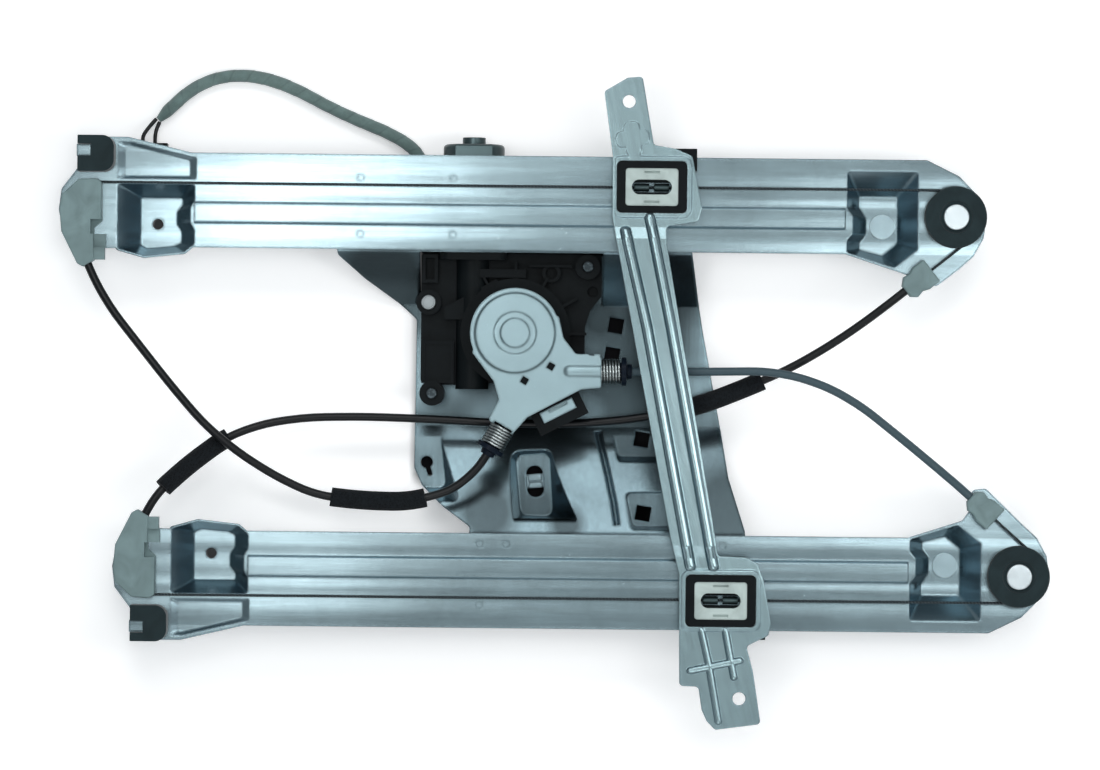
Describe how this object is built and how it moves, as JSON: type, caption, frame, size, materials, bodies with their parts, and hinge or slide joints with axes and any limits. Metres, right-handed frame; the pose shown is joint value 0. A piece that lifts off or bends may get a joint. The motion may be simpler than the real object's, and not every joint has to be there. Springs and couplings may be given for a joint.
{
  "type": "vehicle window regulator",
  "caption": "Front door window regulator: two pressed rails on a motor plate, with a glass carrier on sliders pulled by drum-wound cables in Bowden covers.",
  "frame": {"origin": "on the drum axis at the back face of the motor plate", "axes": "+X along the rails towards the pulleys, +Y towards the upper rail, +Z from the motor plate towards the side that carries the glass"},
  "size_m": [0.5969, 0.3948, 0.0566],
  "materials": {
    "black_foam": "open foam",
    "black_plastic": "fine moulded grain",
    "black_rubber": "matt",
    "blue_plastic": "smooth moulded",
    "bright_steel": "bright plated",
    "cable_steel": "twisted wire rope",
    "cloth_tape": "wound cloth tape",
    "conduit_black": "extruded sheath",
    "cover_steel": "satin",
    "drum_plastic": "natural",
    "galvanised_steel": "rolled zinc-coated sheet",
    "grey_green_plastic": "smooth moulded",
    "light_grey_plastic": "smooth moulded",
    "motor_steel": "satin",
    "spring_steel": "oiled spring wire"
  },
  "bodies": {
    "frame": {"conduit_1": "conduit_black", "conduit_2": "conduit_black", "conduit_3": "conduit_black", "drum_cable_tails": "cable_steel", "drum_cover": "cover_steel", "drum_housing": "black_plastic", "foam_sleeve_left": "black_foam", "foam_sleeve_lower": "black_foam", "foam_sleeve_right": "black_foam", "gear_housing": "black_plastic", "gear_housing_screws": "bright_steel", "harness_plug": "black_plastic", "harness_sleeve": "cloth_tape", "harness_wires": "conduit_black", "housing_clip": "cover_steel", "lower_bumper": "black_rubber", "lower_cable_guide": "grey_green_plastic", "lower_conduit_seat": "grey_green_plastic", "lower_pulley_pin": "bright_steel", "lower_rail": "galvanised_steel", "lower_rail_cable": "cable_steel", "lower_rail_stud": "bright_steel", "motor_can": "motor_steel", "motor_connector": "black_plastic", "motor_plate": "galvanised_steel", "outlet_1_ferrule": "blue_plastic", "outlet_1_spring": "spring_steel", "outlet_2_ferrule": "blue_plastic", "outlet_2_spring": "spring_steel", "plate_clip": "galvanised_steel", "upper_bumper": "black_rubber", "upper_cable_guide": "grey_green_plastic", "upper_conduit_seat": "grey_green_plastic", "upper_pulley_pin": "bright_steel", "upper_rail": "galvanised_steel", "upper_rail_cable": "cable_steel", "upper_rail_stud": "bright_steel"},
    "carrier": {"carrier_bar": "galvanised_steel", "upper_slider": "black_plastic", "lower_slider": "black_plastic", "upper_slider_insert": "light_grey_plastic", "lower_slider_insert": "light_grey_plastic", "upper_cable_nipples": "bright_steel", "lower_cable_nipples": "bright_steel"},
    "drum": {"cable_drum": "drum_plastic", "drum_shaft": "bright_steel", "drum_cable_turns": "cable_steel"},
    "upper_pulley_wheel": {"upper_pulley": "black_plastic"},
    "lower_pulley_wheel": {"lower_pulley": "black_plastic"}
  },
  "joints": [
    {"name": "carrier_slide", "type": "slide", "parent": "frame", "child": "carrier", "axis": [1, 0, 0], "range_m": [-0.297, 0.12]},
    {"name": "drum_spin", "type": "hinge", "parent": "frame", "child": "drum", "pos_m": [0, 0, 0.034], "axis": [0, 0, 1], "range_deg": [-310, 760]},
    {"name": "upper_pulley_spin", "type": "hinge", "parent": "frame", "child": "upper_pulley_wheel", "pos_m": [0.2635, 0.072, 0.043], "axis": [0, 0, 1], "range_deg": [-435, 1070]},
    {"name": "lower_pulley_spin", "type": "hinge", "parent": "frame", "child": "lower_pulley_wheel", "pos_m": [0.3033, -0.143, 0.043], "axis": [0, 0, 1], "range_deg": [-1070, 435]}
  ],
  "couplings": [
    {"joint": "drum_spin", "follows": "carrier_slide", "rad_per_m": -44.444},
    {"joint": "upper_pulley_spin", "follows": "carrier_slide", "rad_per_m": -62.5},
    {"joint": "lower_pulley_spin", "follows": "carrier_slide", "rad_per_m": 62.5}
  ]
}
